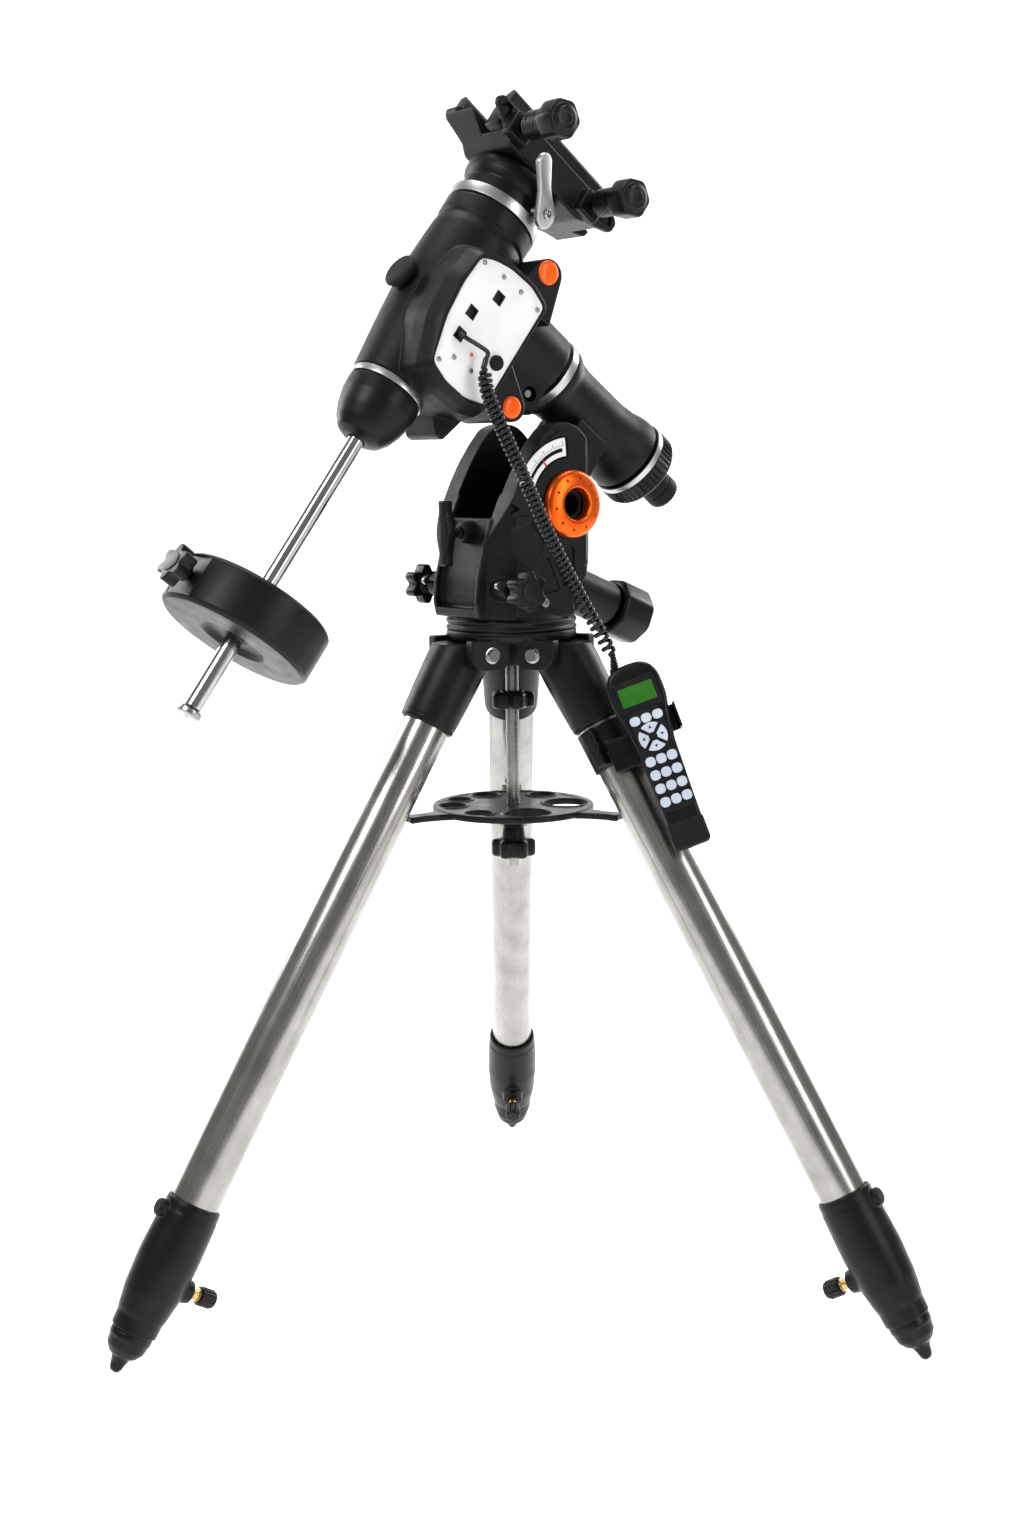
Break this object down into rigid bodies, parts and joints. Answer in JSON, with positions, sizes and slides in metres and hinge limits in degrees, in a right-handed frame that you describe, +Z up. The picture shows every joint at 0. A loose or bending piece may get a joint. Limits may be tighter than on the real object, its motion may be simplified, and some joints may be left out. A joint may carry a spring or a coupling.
{
  "type": "equatorial telescope mount",
  "caption": "German equatorial mount with counterweight shaft, dovetail saddle, latitude fork and wired hand controller on a three-legged extending tripod.",
  "frame": {"origin": "on the ground, at the centre of the footprint of the three spread feet and the rest of the object without its cord", "axes": "+Z up; -Y towards the side that carries the control panel and the hand controller, +X to its right as seen from there"},
  "size_m": [0.8412, 0.7572, 1.2854],
  "materials": {
    "black_coat": "fine satin powder coat over cast aluminium",
    "stainless_tube": "lengthwise satin-polished stainless steel",
    "moulded_black": "fine-textured moulding",
    "clear_brass": "satin turned brass",
    "zinc_steel": "bright machined steel",
    "chrome_shaft": "polished chrome plating",
    "orange_anodised": "orange anodised with a satin sheen",
    "printed_white": "flat white enamel sheet",
    "soft_rubber": "matte rubber",
    "key_rubber": "matte rubber sheet",
    "silver_ring": "satin turned aluminium",
    "worm_brass": "machined brass",
    "cord_jacket": "smooth satin cable jacket"
  },
  "bodies": {
    "base": {"tripod_head": "black_coat", "mounting_rod": "zinc_steel"},
    "mounting_knob": {"mounting_knob": "moulded_black"},
    "tray": {"accessory_tray": "moulded_black"},
    "tray_knob": {"tray_knob": "moulded_black"},
    "leg_rear": {"leg_socket_rear": "black_coat", "leg_tube_rear": "stainless_tube", "leg_clamp_rear": "black_coat"},
    "foot_rear": {"leg_foot_rear": "moulded_black"},
    "lock_rear": {"leg_lock_knob_rear": "clear_brass"},
    "leg_left": {"leg_socket_left": "black_coat", "leg_tube_left": "stainless_tube", "leg_clamp_left": "black_coat"},
    "foot_left": {"leg_foot_left": "moulded_black"},
    "lock_left": {"leg_lock_knob_left": "clear_brass"},
    "leg_right": {"leg_socket_right": "black_coat", "leg_tube_right": "stainless_tube", "leg_clamp_right": "black_coat", "controller_bracket": "moulded_black"},
    "foot_right": {"leg_foot_right": "moulded_black"},
    "lock_right": {"leg_lock_knob_right": "clear_brass"},
    "azimuth": {"azimuth_fork": "black_coat", "altitude_axle": "zinc_steel", "altitude_cap_right": "orange_anodised", "altitude_cap_left": "orange_anodised", "latitude_scale": "printed_white", "cord_coil": "cord_jacket"},
    "azimuth_knob_right": {"azimuth_knob_right": "moulded_black"},
    "azimuth_knob_left": {"azimuth_knob_left": "moulded_black"},
    "altitude": {"ra_housing": "black_coat", "ra_rear_cover": "moulded_black", "polar_scope_cap": "soft_rubber", "ra_worm_wheel": "worm_brass"},
    "altitude_bolt": {"front_altitude_bolt": "moulded_black"},
    "altitude_knob": {"rear_altitude_knob": "moulded_black"},
    "ra_clutch": {"ra_clutch_lever": "silver_ring"},
    "ra": {"dec_housing": "black_coat", "control_panel": "printed_white", "ra_setting_circle": "silver_ring", "ra_shaft": "zinc_steel", "motor_cap": "soft_rubber", "dec_nose": "black_coat", "counterweight_shaft": "chrome_shaft", "shaft_end_cap": "chrome_shaft", "cord_lead": "cord_jacket"},
    "ra_worm": {"ra_worm": "zinc_steel"},
    "dec_worm": {"dec_worm": "zinc_steel"},
    "weight": {"counterweight": "black_coat"},
    "weight_knob": {"counterweight_knob": "moulded_black"},
    "dec": {"dec_hub": "black_coat", "dec_setting_circle": "silver_ring", "dec_shaft": "zinc_steel", "dec_worm_wheel": "worm_brass", "saddle": "black_coat"},
    "dec_clutch": {"dec_clutch_lever": "silver_ring"},
    "saddle_clamp": {"saddle_clamp": "black_coat"},
    "saddle_knob_upper": {"saddle_knob_upper": "moulded_black"},
    "saddle_knob_lower": {"saddle_knob_lower": "moulded_black"},
    "hand_controller": {"hand_controller": "moulded_black"},
    "keypad": {"keypad": "key_rubber"}
  },
  "joints": [
    {"name": "mounting_knob_turn", "type": "hinge", "parent": "base", "child": "mounting_knob", "pos_m": [0, -0.10365, 0.6521], "axis": [0, 0, 1], "continuous": true},
    {"name": "tray_drop", "type": "slide", "parent": "base", "child": "tray", "axis": [0, 0, -1], "range_m": [0, 0.3]},
    {"name": "tray_knob_turn", "type": "hinge", "parent": "tray", "child": "tray_knob", "pos_m": [0, -0.10365, 0.4891], "axis": [0, 0, 1], "continuous": true},
    {"name": "leg_rear_fold", "type": "hinge", "parent": "base", "child": "leg_rear", "pos_m": [0, -0.05165, 0.7091], "axis": [-1, 0, 0], "range_deg": [0, 18]},
    {"name": "foot_rear_extend", "type": "slide", "parent": "leg_rear", "child": "foot_rear", "axis": [0, 0.5075, -0.8616], "range_m": [0, 0.3]},
    {"name": "lock_rear_turn", "type": "hinge", "parent": "leg_rear", "child": "lock_rear", "pos_m": [0, 0.32456, 0.08579], "axis": [0, -0.8616, -0.5075], "continuous": true},
    {"name": "leg_left_fold", "type": "hinge", "parent": "base", "child": "leg_left", "pos_m": [-0.04503, -0.12965, 0.7091], "axis": [0.5, -0.866, 0], "range_deg": [0, 18]},
    {"name": "foot_left_extend", "type": "slide", "parent": "leg_left", "child": "foot_left", "axis": [-0.4395, -0.2538, -0.8616], "range_m": [0, 0.3]},
    {"name": "lock_left_turn", "type": "hinge", "parent": "leg_left", "child": "lock_left", "pos_m": [-0.37084, -0.31775, 0.08579], "axis": [0.7462, 0.4308, -0.5075], "continuous": true},
    {"name": "leg_right_fold", "type": "hinge", "parent": "base", "child": "leg_right", "pos_m": [0.04503, -0.12965, 0.7091], "axis": [0.5, 0.866, 0], "range_deg": [0, 18]},
    {"name": "foot_right_extend", "type": "slide", "parent": "leg_right", "child": "foot_right", "axis": [0.4395, -0.2538, -0.8616], "range_m": [0, 0.3]},
    {"name": "lock_right_turn", "type": "hinge", "parent": "leg_right", "child": "lock_right", "pos_m": [0.37084, -0.31775, 0.08579], "axis": [-0.7462, 0.4308, -0.5075], "continuous": true},
    {"name": "azimuth_turn", "type": "hinge", "parent": "base", "child": "azimuth", "pos_m": [0, -0.10365, 0.7311], "axis": [0, 0, 1], "range_deg": [-7, 7], "deforming": ["cord_coil"]},
    {"name": "azimuth_knob_right_travel", "type": "slide", "parent": "azimuth", "child": "azimuth_knob_right", "axis": [0.5892, -0.808, 0], "range_m": [-0.0065, 0.0065]},
    {"name": "azimuth_knob_left_travel", "type": "slide", "parent": "azimuth", "child": "azimuth_knob_left", "axis": [0.5892, -0.808, 0], "range_m": [-0.0065, 0.0065]},
    {"name": "altitude_tilt", "type": "hinge", "parent": "azimuth", "child": "altitude", "pos_m": [0.02481, -0.08556, 0.8628], "axis": [-0.5892, 0.808, 0], "range_deg": [-20, 32.5]},
    {"name": "altitude_bolt_travel", "type": "slide", "parent": "azimuth", "child": "altitude_bolt", "axis": [-0.808, -0.5892, 0], "range_m": [-0.01, 0.0162]},
    {"name": "altitude_knob_travel", "type": "slide", "parent": "azimuth", "child": "altitude_knob", "axis": [0.7492, 0.5463, -0.3746], "range_m": [-0.034, 0.0215]},
    {"name": "ra_clutch_swing", "type": "hinge", "parent": "altitude", "child": "ra_clutch", "pos_m": [0.03436, -0.02414, 0.97819], "axis": [-0.5892, 0.808, 0], "range_deg": [-30, 30]},
    {"name": "ra_turn", "type": "hinge", "parent": "altitude", "child": "ra", "pos_m": [-0.0576, -0.14565, 1.08933], "axis": [-0.6427, -0.4687, 0.606], "range_deg": [-90, 90]},
    {"name": "ra_worm_turn", "type": "hinge", "parent": "ra", "child": "ra_worm", "pos_m": [0.00186, -0.10229, 0.97734], "axis": [0.5892, -0.808, 0], "continuous": true},
    {"name": "dec_worm_turn", "type": "hinge", "parent": "ra", "child": "dec_worm", "pos_m": [-0.0054, -0.10759, 1.09921], "axis": [0.5892, -0.808, 0], "continuous": true},
    {"name": "counterweight_slide", "type": "slide", "parent": "ra", "child": "weight", "axis": [0.4896, 0.357, 0.7955], "range_m": [-0.075, 0.188]},
    {"name": "counterweight_knob_turn", "type": "hinge", "parent": "weight", "child": "weight_knob", "pos_m": [-0.26202, -0.29472, 0.75722], "axis": [-0.6125, -0.5085, 0.6052], "continuous": true},
    {"name": "dec_turn", "type": "hinge", "parent": "ra", "child": "dec", "pos_m": [-0.01309, -0.11319, 1.16164], "axis": [0.4896, 0.357, 0.7955], "continuous": true},
    {"name": "dec_clutch_swing", "type": "hinge", "parent": "dec", "child": "dec_clutch", "pos_m": [0.03513, -0.14321, 1.15813], "axis": [0.7727, -0.6004, -0.2061], "range_deg": [-35, 5]},
    {"name": "saddle_clamp_close", "type": "slide", "parent": "dec", "child": "saddle_clamp", "axis": [-0.5892, 0.808, 0], "range_m": [0, 0.01]},
    {"name": "saddle_knob_upper_turn", "type": "hinge", "parent": "saddle_clamp", "child": "saddle_knob_upper", "pos_m": [0.04788, -0.20487, 1.23956], "axis": [0.5892, -0.808, 0], "continuous": true},
    {"name": "saddle_knob_lower_turn", "type": "hinge", "parent": "saddle_clamp", "child": "saddle_knob_lower", "pos_m": [0.12115, -0.15144, 1.17048], "axis": [0.5892, -0.808, 0], "continuous": true},
    {"name": "hand_controller_lift", "type": "slide", "parent": "leg_right", "child": "hand_controller", "axis": [-0.3265, 0.2684, 0.9063], "range_m": [0, 0.08]},
    {"name": "keypad_press", "type": "slide", "parent": "hand_controller", "child": "keypad", "axis": [0.091, 0.9633, -0.2525], "range_m": [0, 0.0008], "stiffness_N_per_m": 1500, "springref_m": -0.0004}
  ],
  "couplings": [
    {"joint": "leg_rear_fold", "follows": "tray_drop", "rad_per_m": 1.047},
    {"joint": "leg_left_fold", "follows": "tray_drop", "rad_per_m": 1.047},
    {"joint": "leg_right_fold", "follows": "tray_drop", "rad_per_m": 1.047},
    {"joint": "azimuth_knob_right_travel", "follows": "azimuth_turn", "m_per_rad": -0.05},
    {"joint": "azimuth_knob_left_travel", "follows": "azimuth_turn", "m_per_rad": -0.05},
    {"joint": "altitude_bolt_travel", "follows": "altitude_tilt", "m_per_rad": 0.0278},
    {"joint": "altitude_knob_travel", "follows": "altitude_tilt", "m_per_rad": -0.0594}
  ]
}
